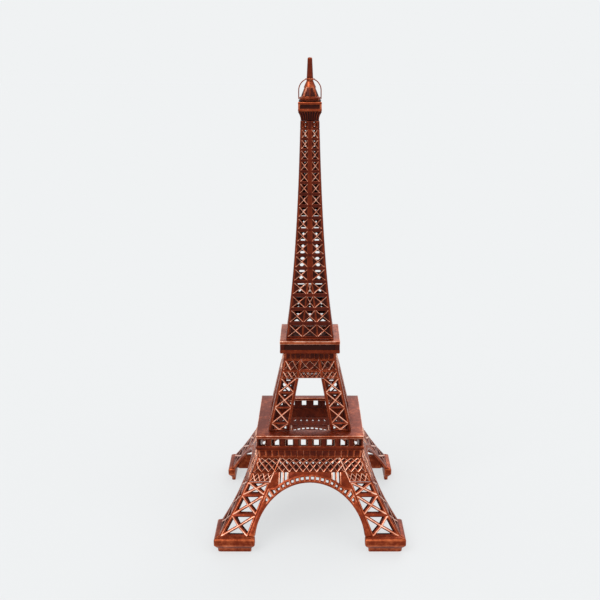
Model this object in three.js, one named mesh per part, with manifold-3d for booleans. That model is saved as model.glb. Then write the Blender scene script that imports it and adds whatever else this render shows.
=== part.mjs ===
// A miniature lattice tower: a die-cast souvenir put together from flat castings.
// Four-sided, millimetres, +Z up, origin on the floor under the middle of the tower.
import * as THREE from "three";
import { mergeVertices } from "three/addons/utils/BufferGeometryUtils.js";
import Module from "manifold-3d";

const wasm = await Module();
wasm.setup();

// ---- Driving sizes ----
const CLEARANCE = 0.3; // between two castings that touch

// Feet: each lower panel stands on two bars.
const FOOT_HALF = 64.2; // tower axis to the outer face of a bar
const FOOT_LENGTH = 27.4;
const FOOT_THICKNESS = 5.4;
const FOOT_LIP = 3.6; // from the bar's face in to the leg's face
const PLINTH_INSET = 2.5;
const PLINTH_HEIGHT = 2.7;
const FOOT_CHAMFER = 3.1;
const FOOT_BAND = 4.6;
const FOOT_SLOPE = 1.1;

// Lower panels: legs, arch and girder
const LOWER_THICKNESS = 1.8;
const LOWER_TOP_HALF = 35.6;
const LEG_HOLLOW = 1.6; // how far a leg's curve dips inside a straight line
const LEG_CELLS = [11.4, 11.2, 7.8];
const LEG_BAND = 5.6;
const LEG_CHORD = 2.2;
const LEG_BAR = 2.5;
const LEG_DIAGONAL = 1.8;
const LEG_WEB = 4.2; // between the arch and the leg's lattice at the foot
const LEG_TOP_WIDTH = 15.5;
const GIRDER_HEIGHT = 9.3;
const GIRDER_DOT_PITCH = 4.7;
const GIRDER_DOT = 2.1;
const GIRDER_DOT_ROW = 0.38; // the dots' row below the girder's top, as a share of its height
const LEG_DOT_PITCH = 4;
const FRIEZE_HEIGHT = 5.8;
const FRIEZE_PROUD = 0.5;
const ARCH_GAP = 0.8; // crown of the arch below the girder
const ARCH_BAND = 5.4;
const ARCH_HOLE = 1.9;
const ARCH_HOLE_PITCH = 3.5;
const ARCH_HOLES = 20;
const SPANDREL_START = 14.2;
const SPANDREL_OPENINGS = 3;
const SPANDREL_STRUT = 1.1;
const SPANDREL_EDGE = 0.75; // metal left over the arch's back

// Gallery and first platform
const GALLERY_THICKNESS = 1.8;
const GALLERY_SILL = 2.6;
const GALLERY_OPENING = 4.7;
const GALLERY_HEAD = 0.4;
const GALLERY_OPENINGS = 8;
const GALLERY_PILLAR = 4.3;
const GALLERY_POST = 0.8; // from the end window to the corner
const SILL_PROUD = 0.5;
const PLATFORM_THICKNESS = 2.1;
const PLATFORM_LIP = 0.6;
const WELL_BAY = 4.4; // how much further the well reaches at the back, between the middle legs

// Middle panels
const MID_THICKNESS = 1.6;
const MID_BASE_HALF = 28.35;
const MID_TOP_HALF = 17.8;
const MID_CELLS = [5, 10.6, 10.1, 9.7];
const MID_LOWER_BAND = 5;
const MID_UPPER_BAND = 7.3;
const MID_FRIEZE = 5.0;
const MID_LEG_BASE = 13.5;
const MID_LEG_TOP = 11.6;
const MID_CHORD = 1.7;
const MID_BAR = 1.5;
const MID_DIAGONAL = 1.0;
const MID_LEG_DOTS = 3;

// Second floor
const SECOND_OVERHANG = 2.6;
const SECOND_MOULDING = 2.4;
const SECOND_RECESS = 3.9;
const SECOND_RECESS_DEPTH = 0.7;
const SECOND_LIP = 2.2;
const TRAY_PROUD = 0.1;
const SECOND_WALL = 3.8;
const PILASTER = 3.0;

// Spire panels
const SPIRE_THICKNESS = 1.2;
const SPIRE_BASE_HALF = 16.2;
const SPIRE_TOP_HALF = 5.9;
const SPIRE_FLARE = 1.7; // how quickly the spire narrows above its foot
const SPIRE_HEIGHT = 145.1;
const SPIRE_ROWS = 17;
const SPIRE_WIDE_ROWS = 4; // rows with three columns of lattice
const SPIRE_ROW_RATIO = 0.9743; // each row's height over the row below it
const SPIRE_FOOT = 0.9;
const SPIRE_NECK = 5.0;
const SPIRE_CHORD = 1.4;
const SPIRE_STRIP = 1.8; // the solid strip up the middle, at the spire's top
const SPIRE_STRIP_GROWTH = 0.15; // what the strip's half-width gains for each mm of the spire's
const SPIRE_BAR = 0.8;

// Top pieces
const CORNICE_HEIGHT = 5.3;
const CORNICE_FLARE = 1.8;
const CABIN_HEIGHT = 6.0;
const CABIN_MOULDING = 1.5;
const CABIN_RECESS = 0.6;
const CABIN_POST = 1.3;
const DRUM_HEIGHT = 2.6;
const DRUM_INSET = 0.35;
const DRUM_RIM = 1;
const DRUM_WAIST = 0.6;
const BELL_INSET = 1.0;
const BELL_HEIGHT = 9.9;
const BELL_SWELL = 1.1; // 1 is a plain cone, more is a rounder bell
const BELL_WINDOW = 0.45; // half a window's width over the bell's radius
const BELL_RECESS = 1.6;
const BELL_SILL = 0.8;
const HOOP_INSET = 0.1;
const HOOP_THICKNESS = 0.7;
const HOOP_SEAT = 1.2; // how deep the hoops stand in the drum's rim
const HOOP_SHOULDER = 4.2; // height above the drum where the hoops begin to curve in
const COLLAR_HEIGHT = 0.9;
const MAST_HEIGHT = 14.2;
const MAST_BASE_HALF = 2.2;
const MAST_TOP_HALF = 1.5;

// Edges and posts
const EDGE = 0.4; // chamfer on the edges of mouldings and plates
const POST_SETBACK = 0.1; // a corner post's face behind the moulding's

// Tabs that locate one casting in the next
const TAB_WIDTH = 5;
const TAB_DEPTH = 0.9;
const TAB_HEIGHT = 1.3;
const PIN_RADIUS = 1.2;
const PIN_LENGTH = 1.5;
const SOCKET_DEPTH = 2;
const OVERRUN = 1; // a cut runs this far past the face it opens, and a join this far into its piece
const PUNCH_OVERRUN = 3; // the same for a hole through a leaning sheet

// How finely curves are made
const ARCH_STEPS = 20;
const CORNICE_STEPS = 3;
const BELL_STEPS = 6;
const HOOP_STEPS = 12;
const ROUND_SIDES = 16;
const SLIM_SIDES = 12; // pins and mast
const WELD = 1e-4; // corners closer than this are one

// ---- Heights and widths that follow from them ----
const mitre = CLEARANCE / Math.SQRT2; // taken off each edge of a mitred corner
const sum = (list) => list.reduce((total, value) => total + value, 0);
const lerp = THREE.MathUtils.lerp;

const footTop = PLINTH_HEIGHT + FOOT_CHAMFER + FOOT_BAND + FOOT_SLOPE;
const legBaseHalf = FOOT_HALF - FOOT_LIP;
const legBandBottom = footTop + sum(LEG_CELLS);
const girderBottom = legBandBottom + LEG_BAND;
const girderTop = girderBottom + GIRDER_HEIGHT;
const lowerTop = girderTop + FRIEZE_HEIGHT;
const archFootHalf = FOOT_HALF - FOOT_LENGTH + FOOT_SLOPE / 2;
const archCrown = girderBottom - ARCH_GAP - ARCH_BAND;
const archRise = archCrown - footTop;
const archRadius = (archRise ** 2 + archFootHalf ** 2) / (2 * archRise);
const archCentre = archCrown - archRadius;

const galleryHalf = LOWER_TOP_HALF + FRIEZE_PROUD;
const galleryBottom = lowerTop + CLEARANCE;
const galleryTop = galleryBottom + GALLERY_SILL + GALLERY_OPENING + GALLERY_HEAD;
const platformBottom = galleryTop + CLEARANCE;
const platformTop = platformBottom + PLATFORM_THICKNESS;
const platformHalf = galleryHalf + PLATFORM_LIP;

const midBottom = platformTop + CLEARANCE;
const midBandBottom = midBottom + sum(MID_CELLS);
const midUpperBottom = midBandBottom + MID_LOWER_BAND;
const midFriezeBottom = midUpperBottom + MID_UPPER_BAND;
const midTop = midFriezeBottom + MID_FRIEZE;

const secondHalf = MID_TOP_HALF + SECOND_OVERHANG;
const secondBottom = midTop + CLEARANCE;
const secondTop = secondBottom + SECOND_MOULDING + SECOND_RECESS;
const trayHalf = secondHalf + TRAY_PROUD;
const trayBottom = secondTop + CLEARANCE;
const trayTop = trayBottom + SECOND_LIP;

const spireBottom = trayTop + CLEARANCE;
const spireTop = spireBottom + SPIRE_HEIGHT;
const corniceBottom = spireTop + CLEARANCE;
const corniceTop = corniceBottom + CORNICE_HEIGHT;
const cabinHalf = SPIRE_TOP_HALF + CORNICE_FLARE;
const cabinBottom = corniceTop + CLEARANCE;
const cabinTop = cabinBottom + CABIN_HEIGHT;
const drumBottom = cabinTop + CLEARANCE;
const drumTop = drumBottom + DRUM_HEIGHT;
const bellBottom = drumTop + CLEARANCE;
const bellTop = bellBottom + BELL_HEIGHT;
const mastBottom = bellTop + CLEARANCE;
const mastTop = mastBottom + MAST_HEIGHT;
const drumRadius = cabinHalf - DRUM_INSET;
const bellRadius = drumRadius - BELL_INSET;
const hoopRadius = cabinHalf - HOOP_INSET;

// Where the locating tabs stand: half-widths, and places along a side.
const tabHalf = galleryHalf - (LOWER_THICKNESS - TAB_DEPTH) / 2;
const midTabHalf = MID_BASE_HALF - (MID_THICKNESS - TAB_DEPTH) / 2;
const midTabAcross = MID_BASE_HALF - MID_LEG_BASE / 2;
const secondTabHalf = MID_TOP_HALF - (MID_THICKNESS - TAB_DEPTH) / 2;
const secondTabAcross = MID_TOP_HALF - MID_LEG_TOP / 2;
const studHalf = secondHalf - SECOND_RECESS_DEPTH - SECOND_WALL / 2;
const spireTabHalf = SPIRE_BASE_HALF - (SPIRE_THICKNESS - TAB_DEPTH) / 2;

// Half-width of the tower's outer face at height z, one rule for each storey.
function lowerHalf(z) {
  if (z > girderTop) {
    return lerp(LOWER_TOP_HALF, galleryHalf, (z - girderTop) / FRIEZE_HEIGHT);
  }
  const s = (z - footTop) / (girderTop - footTop);
  return lerp(legBaseHalf, LOWER_TOP_HALF, s) - 4 * LEG_HOLLOW * s * (1 - s);
}

function midHalf(z) {
  const s = (z - midBottom) / (midFriezeBottom - midBottom);
  return lerp(MID_BASE_HALF, MID_TOP_HALF, Math.min(s, 1));
}

function spireHalf(z) {
  const s = (z - spireBottom) / SPIRE_HEIGHT;
  const fall = (1 - Math.exp(-SPIRE_FLARE * s)) / (1 - Math.exp(-SPIRE_FLARE));
  return lerp(SPIRE_BASE_HALF, SPIRE_TOP_HALF, fall);
}

// ---- Flat outlines: points are [across, height] ----
const toVectors = (points) => points.map(([u, v]) => new THREE.Vector2(u, v));
const flip = (points) => points.map(([u, v]) => [-u, v]).reverse();
const both = (holes) => [...holes, ...holes.map(flip)];

// The polygon left when each edge of a convex outline moves in by its own distance.
function inset(points, distances) {
  const centre = [
    sum(points.map((p) => p[0])) / points.length,
    sum(points.map((p) => p[1])) / points.length,
  ];
  const edges = points.map(([u, v], i) => {
    const [nextU, nextV] = points[(i + 1) % points.length];
    const length = Math.hypot(nextU - u, nextV - v);
    const normal = [-(nextV - v) / length, (nextU - u) / length];
    const inwards = (centre[0] - u) * normal[0] + (centre[1] - v) * normal[1] > 0 ? 1 : -1;
    const n = [normal[0] * inwards, normal[1] * inwards];
    return { n, offset: n[0] * u + n[1] * v + distances[i] };
  });
  return edges.map((edge, i) => {
    const before = edges[(i + edges.length - 1) % edges.length];
    const det = before.n[0] * edge.n[1] - before.n[1] * edge.n[0];
    return [
      (before.offset * edge.n[1] - edge.offset * before.n[1]) / det,
      (before.n[0] * edge.offset - edge.n[0] * before.offset) / det,
    ];
  });
}

// The four triangles left open by an X inside a four-cornered opening.
function crossed([a, b, c, d], diagonal) {
  const along = (p, q, t) => [lerp(p[0], q[0], t), lerp(p[1], q[1], t)];
  const width = Math.hypot(b[0] - a[0], b[1] - a[1]);
  const topWidth = Math.hypot(c[0] - d[0], c[1] - d[1]);
  const middle = along(a, c, width / (width + topWidth));
  const sides = [
    [a, b],
    [b, c],
    [c, d],
    [d, a],
  ];
  return sides.map(([p, q]) => inset([p, q, middle], [0, diagonal / 2, diagonal / 2]));
}

// A four-cornered opening between two rows and two chord lines given as functions.
function cell(left, right, low, high) {
  return [
    [left(low), low],
    [right(low), low],
    [right(high), high],
    [left(high), high],
  ];
}

const diamond = (u, v, width, height) => [
  [u - width / 2, v],
  [u, v - height / 2],
  [u + width / 2, v],
  [u, v + height / 2],
];

const box = (low, high, bottom, top) => [
  [low, bottom],
  [high, bottom],
  [high, top],
  [low, top],
];

// Heights spread evenly from bottom to top.
const levels = (bottom, top, steps) =>
  Array.from({ length: steps + 1 }, (unused, i) => lerp(bottom, top, i / steps));

// ---- Solids ----
// A prism through the front of a storey, from in front of its outer face to behind its inner one.
function punch(outline, thickness, half) {
  const shape = new THREE.Shape(toVectors(outline));
  const geometry = new THREE.ExtrudeGeometry(shape, {
    depth: thickness + 2 * PUNCH_OVERRUN,
    bevelEnabled: false,
    steps: 1,
  });
  const position = geometry.getAttribute("position");
  for (let i = 0; i < position.count; i += 1) {
    const z = position.getY(i);
    const depth = thickness + PUNCH_OVERRUN - position.getZ(i);
    position.setXYZ(i, position.getX(i), depth - half(z), z);
  }
  return geometry;
}

// A closed solid through level rings of points, each ring with the same number of corners.
function stack(rings) {
  const corners = rings[0].length;
  const vertices = rings.flat().flat();
  const index = [];
  const cap = THREE.ShapeUtils.triangulateShape(toVectors(rings[0]), []);
  const last = (rings.length - 1) * corners;
  cap.forEach(([a, b, c]) => index.push(a, c, b, last + a, last + b, last + c));
  for (let level = 0; level < last; level += corners) {
    for (let i = 0; i < corners; i += 1) {
      const a = level + i;
      const b = level + ((i + 1) % corners);
      index.push(a, b, b + corners, a, b + corners, a + corners);
    }
  }
  const geometry = new THREE.BufferGeometry();
  geometry.setAttribute("position", new THREE.Float32BufferAttribute(vertices, 3));
  geometry.setIndex(index);
  return geometry;
}

const rectangle = (x0, x1, y0, y1, z) => [
  [x0, y0, z],
  [x1, y0, z],
  [x1, y1, z],
  [x0, y1, z],
];
const square = ([half, z]) => rectangle(-half, half, -half, half, z);
const block = (x0, x1, y0, y1, z0, z1) =>
  stack([rectangle(x0, x1, y0, y1, z0), rectangle(x0, x1, y0, y1, z1)]);

function toSolid(geometry) {
  const bare = geometry.clone();
  bare.deleteAttribute("normal");
  bare.deleteAttribute("uv");
  const merged = mergeVertices(bare, WELD);
  const mesh = new wasm.Mesh({
    numProp: 3,
    vertProperties: new Float32Array(merged.getAttribute("position").array),
    triVerts: new Uint32Array(merged.index.array),
  });
  return new wasm.Manifold(mesh);
}

function toGeometry(solid) {
  const mesh = solid.getMesh();
  const geometry = new THREE.BufferGeometry();
  geometry.setAttribute("position", new THREE.BufferAttribute(mesh.vertProperties, 3));
  geometry.setIndex(new THREE.BufferAttribute(mesh.triVerts, 1));
  geometry.computeVertexNormals();
  return geometry;
}

const asSolid = (piece) => (piece.isBufferGeometry ? toSolid(piece) : piece);
const join = (first, ...rest) =>
  rest.reduce((whole, piece) => whole.add(asSolid(piece)), asSolid(first));
const cut = (first, ...rest) =>
  rest.reduce((whole, piece) => whole.subtract(asSolid(piece)), asSolid(first));

// A pierced sheet on the front of a storey, its ends mitred for the sheets beside it.
function panel(rows, holes, thickness, half) {
  const rings = rows.map((z) => {
    const outer = half(z);
    const inner = outer - thickness;
    return [
      [mitre - outer, -outer, z],
      [outer - mitre, -outer, z],
      [inner - mitre, -inner, z],
      [mitre - inner, -inner, z],
    ];
  });
  return cut(stack(rings), ...holes.map((hole) => punch(hole, thickness, half)));
}

// A locating tab, or with slack the slot it fits, just inside a face at the given half-width.
function tab(across, half, bottom, top, slack = 0) {
  return block(
    across - TAB_WIDTH / 2 - slack,
    across + TAB_WIDTH / 2 + slack,
    -half - slack,
    -half + TAB_DEPTH + slack,
    bottom,
    top,
  );
}

// ---- Lower panel ----
function footBar() {
  const end = FOOT_HALF - FOOT_LENGTH;
  const inner = FOOT_HALF - FOOT_THICKNESS;
  const ring = (taper, z) => {
    const face = FOOT_HALF - taper;
    return [
      [-(face - mitre), -face, z],
      [-(end + taper), -face, z],
      [-(end + taper), -inner, z],
      [-(inner - mitre), -inner, z],
    ];
  };
  const bandBottom = PLINTH_HEIGHT + FOOT_CHAMFER;
  const bandTop = bandBottom + FOOT_BAND;
  return stack([
    ring(PLINTH_INSET, 0),
    ring(PLINTH_INSET, PLINTH_HEIGHT),
    ring(0, bandBottom),
    ring(0, bandTop),
    ring(FOOT_SLOPE * 2, footTop),
  ]);
}

const legInner = (z) =>
  lerp(
    archFootHalf + LEG_WEB,
    LOWER_TOP_HALF - LEG_TOP_WIDTH,
    (z - footTop) / (girderTop - footTop),
  );
const archHalf = (z) => Math.sqrt(archRadius ** 2 - (z - archCentre) ** 2);
const archBack = (u) => archCentre + ARCH_BAND + Math.sqrt(archRadius ** 2 - u ** 2);

function legLattice() {
  const left = (z) => legInner(z) + LEG_CHORD / 2;
  const right = (z) => lowerHalf(z) - LEG_CHORD;
  let low = footTop;
  const cells = LEG_CELLS.flatMap((height) => {
    const opening = cell(left, right, low + LEG_BAR / 4, low + height - LEG_BAR / 2);
    low += height;
    return crossed(opening, LEG_DIAGONAL);
  });
  const middle = legBandBottom + LEG_BAND / 2;
  const dots = [-1, 0, 1].map((i) =>
    diamond(
      (left(middle) + right(middle)) / 2 + i * LEG_DOT_PITCH,
      middle,
      GIRDER_DOT,
      GIRDER_DOT,
    ),
  );
  return [...cells, ...dots];
}

function girderDots() {
  const reach = LOWER_TOP_HALF - LEG_CHORD - GIRDER_DOT;
  const count = Math.floor(reach / GIRDER_DOT_PITCH + 0.5);
  const v = girderTop - GIRDER_HEIGHT * GIRDER_DOT_ROW;
  return Array.from({ length: count }, (unused, i) =>
    diamond((i + 0.5) * GIRDER_DOT_PITCH, v, GIRDER_DOT, GIRDER_DOT),
  );
}

function archHoles() {
  const step = ARCH_HOLE_PITCH / (archRadius + ARCH_BAND / 2);
  return Array.from({ length: ARCH_HOLES / 2 }, (unused, i) => {
    const angle = (i + 0.5) * step;
    const band = ARCH_BAND * Math.cos(angle); // the band narrows towards its springing
    const radius = archRadius + band / 2;
    const size = Math.min(ARCH_HOLE, band / 2) / 2;
    const place = (across, out) => [
      (radius + out) * Math.sin(angle) + across * Math.cos(angle),
      archCentre + (radius + out) * Math.cos(angle) - across * Math.sin(angle),
    ];
    return [place(-size, -size), place(size, -size), place(size, size), place(-size, size)];
  });
}

function spandrel() {
  const top = girderBottom - ARCH_GAP / 2;
  const end = legInner(girderBottom) - LEG_CHORD / 2;
  const step = (end - SPANDREL_START) / SPANDREL_OPENINGS;
  return Array.from({ length: SPANDREL_OPENINGS }, (unused, i) => {
    const u0 = SPANDREL_START + i * step + SPANDREL_STRUT / 2;
    const u1 = SPANDREL_START + (i + 1) * step - SPANDREL_STRUT / 2;
    return [
      [u0, archBack(u0) + SPANDREL_EDGE],
      [u1, archBack(u1) + SPANDREL_EDGE],
      [u1, top],
      [u0, top],
    ];
  });
}

const tabAcross = () => (legInner(lowerTop) + LOWER_TOP_HALF) / 2;

function lowerPanel() {
  const buried = footTop - FOOT_BAND / 2;
  const below = buried - OVERRUN;
  const start = Math.asin(archHalf(below) / archRadius);
  const arch = levels(-start, start, ARCH_STEPS).map((angle) => [
    archRadius * Math.sin(angle),
    archCentre + archRadius * Math.cos(angle),
  ]);
  const holes = both([...legLattice(), ...girderDots(), ...archHoles(), ...spandrel()]);
  const bars = LEG_CELLS.map((unused, i) => footTop + sum(LEG_CELLS.slice(0, i + 1)));
  const rows = [buried, ...bars, girderBottom, girderTop, lowerTop];
  const sheet = panel(rows, [arch, ...holes], LOWER_THICKNESS, lowerHalf);
  const tabs = [-1, 1].map((side) =>
    tab(side * tabAcross(), tabHalf, lowerTop - TAB_HEIGHT, galleryBottom + TAB_HEIGHT),
  );
  const bar = toSolid(footBar());
  return join(sheet, bar, bar.mirror([1, 0, 0]), ...tabs);
}

// ---- Gallery and first platform ----
function galleryWall() {
  const sill = galleryBottom + GALLERY_SILL;
  const strip = (half, top, holes) =>
    panel([galleryBottom, top], holes, GALLERY_THICKNESS, () => half);
  const pillars = (GALLERY_OPENINGS - 1) * GALLERY_PILLAR;
  const opening = (2 * (galleryHalf - GALLERY_POST) - pillars) / GALLERY_OPENINGS;
  const openings = Array.from({ length: GALLERY_OPENINGS }, (unused, i) => {
    const u = i * (opening + GALLERY_PILLAR) + GALLERY_POST - galleryHalf;
    return box(u, u + opening, sill, sill + GALLERY_OPENING);
  });
  const slots = [-1, 1].map((side) =>
    tab(side * tabAcross(), tabHalf, lowerTop, galleryBottom + TAB_HEIGHT + CLEARANCE, CLEARANCE),
  );
  const tabs = [-1, 1].map((side) =>
    tab(side * tabAcross(), tabHalf, galleryTop - GALLERY_HEAD / 2, platformBottom + TAB_HEIGHT),
  );
  const wall = strip(galleryHalf, galleryTop, openings);
  const moulding = strip(galleryHalf + SILL_PROUD, sill - CLEARANCE, []);
  return join(cut(join(wall, moulding), ...slots), ...tabs);
}

const quarterTurns = [0, 1, 2, 3].map((turn) => (turn * Math.PI) / 2);
const around = (make) => quarterTurns.map((angle) => make().rotateZ(angle));

function firstPlatform() {
  const well = MID_BASE_HALF - MID_THICKNESS - CLEARANCE;
  const bay = midInner(midBottom) - MID_CHORD / 2;
  const through = (x, front, back) =>
    block(-x, x, front, back, platformBottom - OVERRUN, platformTop + OVERRUN);
  const openings = [through(well, -well, well), through(bay, 0, well + WELL_BAY)];
  const plate = stack([
    [platformHalf - PLATFORM_LIP / 2, platformBottom],
    [platformHalf, platformBottom + PLATFORM_LIP],
    [platformHalf, platformTop],
  ].map(square));
  const below = [-1, 1].flatMap((side) =>
    around(() =>
      tab(
        side * tabAcross(),
        tabHalf,
        platformBottom - OVERRUN,
        platformBottom + TAB_HEIGHT + CLEARANCE,
        CLEARANCE,
      ),
    ),
  );
  const above = [-1, 1].flatMap((side) =>
    around(() =>
      tab(
        side * midTabAcross,
        midTabHalf,
        platformTop - TAB_HEIGHT - CLEARANCE,
        platformTop + OVERRUN,
        CLEARANCE,
      ),
    ),
  );
  return cut(plate, ...openings, ...below, ...above);
}

// ---- Middle panel ----
const midInner = (z) =>
  lerp(
    MID_BASE_HALF - MID_LEG_BASE,
    MID_TOP_HALF - MID_LEG_TOP,
    (z - midBottom) / (midFriezeBottom - midBottom),
  );

function midLattice() {
  const left = (z) => midInner(z) + MID_CHORD;
  const right = (z) => midHalf(z) - MID_CHORD;
  let low = midBottom;
  const cells = MID_CELLS.flatMap((height) => {
    const opening = cell(left, right, low + MID_BAR / 2, low + height - MID_BAR / 2);
    low += height;
    return crossed(opening, MID_DIAGONAL);
  });
  const tall = MID_UPPER_BAND - 2 * MID_BAR;
  const centre = (midUpperBottom + midFriezeBottom) / 2;
  const bay = midInner(centre);
  const leg = (right(centre) - left(centre)) / 2;
  const lozenges = [
    diamond(bay / 2, centre, bay - 2 * MID_DIAGONAL, tall),
    diamond(left(centre) + leg / 2, centre, leg - MID_DIAGONAL, tall),
    diamond(left(centre) + leg * 1.5, centre, leg - MID_DIAGONAL, tall),
  ];
  const row = (midBandBottom + midUpperBottom) / 2;
  const dot = MID_LOWER_BAND - 2 * MID_BAR;
  const dots = [0.5, 1.5].map((i) => diamond((i * midInner(row)) / 2, row, dot, dot));
  const legDots = Array.from({ length: MID_LEG_DOTS }, (unused, i) =>
    diamond(lerp(left(row), right(row), (i + 0.5) / MID_LEG_DOTS), row, dot, dot),
  );
  return [...cells, ...lozenges, ...dots, ...legDots];
}

function midPanel() {
  const opening = [
    [-midInner(midBottom - OVERRUN), midBottom - OVERRUN],
    [midInner(midBottom - OVERRUN), midBottom - OVERRUN],
    [midInner(midBandBottom), midBandBottom],
    [-midInner(midBandBottom), midBandBottom],
  ];
  const rows = [midBottom, midFriezeBottom, midTop];
  const sheet = panel(rows, [opening, ...both(midLattice())], MID_THICKNESS, midHalf);
  const feet = [-1, 1].map((side) =>
    tab(side * midTabAcross, midTabHalf, platformTop - TAB_HEIGHT, midBottom + MID_BAR / 2),
  );
  const heads = [-1, 1].map((side) =>
    tab(side * secondTabAcross, secondTabHalf, midTop - OVERRUN, secondBottom + TAB_HEIGHT),
  );
  return join(sheet, ...feet, ...heads);
}

// ---- Second floor ----
function secondFloorBox() {
  const recess = secondHalf - SECOND_RECESS_DEPTH;
  const shell = stack([
    [secondHalf - EDGE, secondBottom],
    [secondHalf, secondBottom + EDGE],
    [secondHalf, secondBottom + SECOND_MOULDING],
    [recess, secondBottom + SECOND_MOULDING],
    [recess, secondTop],
  ].map(square));
  const wall = secondHalf - SECOND_WALL - SECOND_RECESS_DEPTH;
  const inside = stack([[wall, secondBottom - OVERRUN], [wall, secondTop + OVERRUN]].map(square));
  const posts = around(() =>
    block(
      secondHalf - PILASTER,
      secondHalf - POST_SETBACK,
      -secondHalf + POST_SETBACK,
      -secondHalf + PILASTER,
      secondBottom + SECOND_MOULDING / 2,
      secondTop,
    ),
  );
  const slots = [-1, 1].flatMap((side) =>
    around(() =>
      tab(
        side * secondTabAcross,
        secondTabHalf,
        secondBottom - OVERRUN,
        secondBottom + TAB_HEIGHT + CLEARANCE,
        CLEARANCE,
      ),
    ),
  );
  const studs = around(() =>
    block(
      -TAB_WIDTH,
      TAB_WIDTH,
      -studHalf,
      -studHalf + TAB_DEPTH,
      secondTop - OVERRUN,
      trayBottom + TAB_HEIGHT,
    ),
  );
  return join(cut(join(shell, ...posts), inside, ...slots), ...studs);
}

function secondFloorTray() {
  const plate = stack([
    [trayHalf - EDGE, trayBottom],
    [trayHalf, trayBottom + EDGE],
    [trayHalf, trayTop],
  ].map(square));
  const hole = SPIRE_BASE_HALF - SPIRE_THICKNESS - 2 * CLEARANCE;
  const inside = stack([[hole, trayBottom - OVERRUN], [hole, trayTop + OVERRUN]].map(square));
  const slots = around(() =>
    block(
      -TAB_WIDTH - CLEARANCE,
      TAB_WIDTH + CLEARANCE,
      -studHalf - CLEARANCE,
      -studHalf + TAB_DEPTH + CLEARANCE,
      trayBottom - OVERRUN,
      trayBottom + TAB_HEIGHT + CLEARANCE,
    ),
  );
  const seats = around(() =>
    tab(0, spireTabHalf, trayTop - TAB_HEIGHT + CLEARANCE, trayTop + OVERRUN, CLEARANCE),
  );
  return cut(plate, inside, ...slots, ...seats);
}

// ---- Spire panel ----
function spireRows() {
  const span = SPIRE_HEIGHT - SPIRE_FOOT - SPIRE_NECK;
  const first = (span * (1 - SPIRE_ROW_RATIO)) / (1 - SPIRE_ROW_RATIO ** SPIRE_ROWS);
  const rows = [spireBottom + SPIRE_FOOT];
  for (let i = 0; i < SPIRE_ROWS; i += 1) {
    rows.push(rows[i] + first * SPIRE_ROW_RATIO ** i);
  }
  return rows;
}

function spirePanel() {
  const rows = spireRows();
  const holes = rows.slice(1).flatMap((high, i) => {
    const low = rows[i];
    const middle = (low + high) / 2;
    const height = high - low - 2 * SPIRE_BAR;
    const edge = spireHalf(middle) - SPIRE_CHORD;
    if (i < SPIRE_WIDE_ROWS) {
      const width = (2 * edge - 2 * SPIRE_BAR) / 3;
      const side = width + SPIRE_BAR;
      return [-side, 0, side].map((u) => diamond(u, middle, width - SPIRE_BAR, height));
    }
    const growth = (edge + SPIRE_CHORD - spireHalf(spireTop)) * SPIRE_STRIP_GROWTH;
    const strip = SPIRE_STRIP / 2 + growth;
    const centre = (edge + strip) / 2;
    return [-centre, centre].map((u) => diamond(u, middle, edge - strip - SPIRE_BAR, height));
  });
  const steps = [spireBottom, ...rows.filter((unused, i) => i % 2 === 0), spireTop];
  const sheet = panel(steps, holes, SPIRE_THICKNESS, spireHalf);
  const foot = tab(0, spireTabHalf, trayTop - TAB_HEIGHT + 2 * CLEARANCE, spireBottom + SPIRE_FOOT);
  return join(sheet, foot);
}

// ---- Top pieces ----
function cornice() {
  const rings = levels(0, 1, CORNICE_STEPS).map((share) => [
    SPIRE_TOP_HALF + CORNICE_FLARE * share ** 2,
    corniceBottom + CORNICE_HEIGHT * share,
  ]);
  const body = stack(rings.map(square));
  const plug = SPIRE_TOP_HALF - SPIRE_THICKNESS - 2 * CLEARANCE;
  const spigot = stack([
    [plug, corniceBottom - PIN_LENGTH],
    [plug, corniceBottom + OVERRUN],
  ].map(square));
  return cut(join(body, spigot), socket(corniceTop));
}

function pin(bottom, top, slack = 0) {
  const radius = PIN_RADIUS + slack;
  return new THREE.CylinderGeometry(radius, radius, top - bottom, SLIM_SIDES)
    .rotateX(Math.PI / 2)
    .translate(0, 0, (bottom + top) / 2);
}

// The pin under a piece, and the socket in the top of the piece below.
const pinBelow = (bottom) => pin(bottom - PIN_LENGTH, bottom + OVERRUN);
const socket = (top) => pin(top - SOCKET_DEPTH, top + OVERRUN, CLEARANCE);

function cabin() {
  const recess = cabinHalf - CABIN_RECESS;
  const shoulder = cabinHalf - EDGE;
  const body = stack([
    [shoulder, cabinBottom],
    [cabinHalf, cabinBottom + EDGE],
    [cabinHalf, cabinBottom + CABIN_MOULDING],
    [recess, cabinBottom + CABIN_MOULDING],
    [recess, cabinTop - CABIN_MOULDING],
    [cabinHalf, cabinTop - CABIN_MOULDING],
    [cabinHalf, cabinTop - EDGE],
    [shoulder, cabinTop],
  ].map(square));
  const inner = cabinHalf - CABIN_POST;
  const outer = cabinHalf - POST_SETBACK;
  const posts = around(() =>
    block(inner, outer, -outer, -inner, cabinBottom + OVERRUN, cabinTop - OVERRUN),
  );
  return join(cut(join(body, ...posts), socket(cabinTop)), pinBelow(cabinBottom));
}

// A round piece from its half profile, listed from the axis out and back to the axis.
function turned(profile, segments) {
  return new THREE.LatheGeometry(toVectors(profile), segments).rotateX(Math.PI / 2);
}

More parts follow.
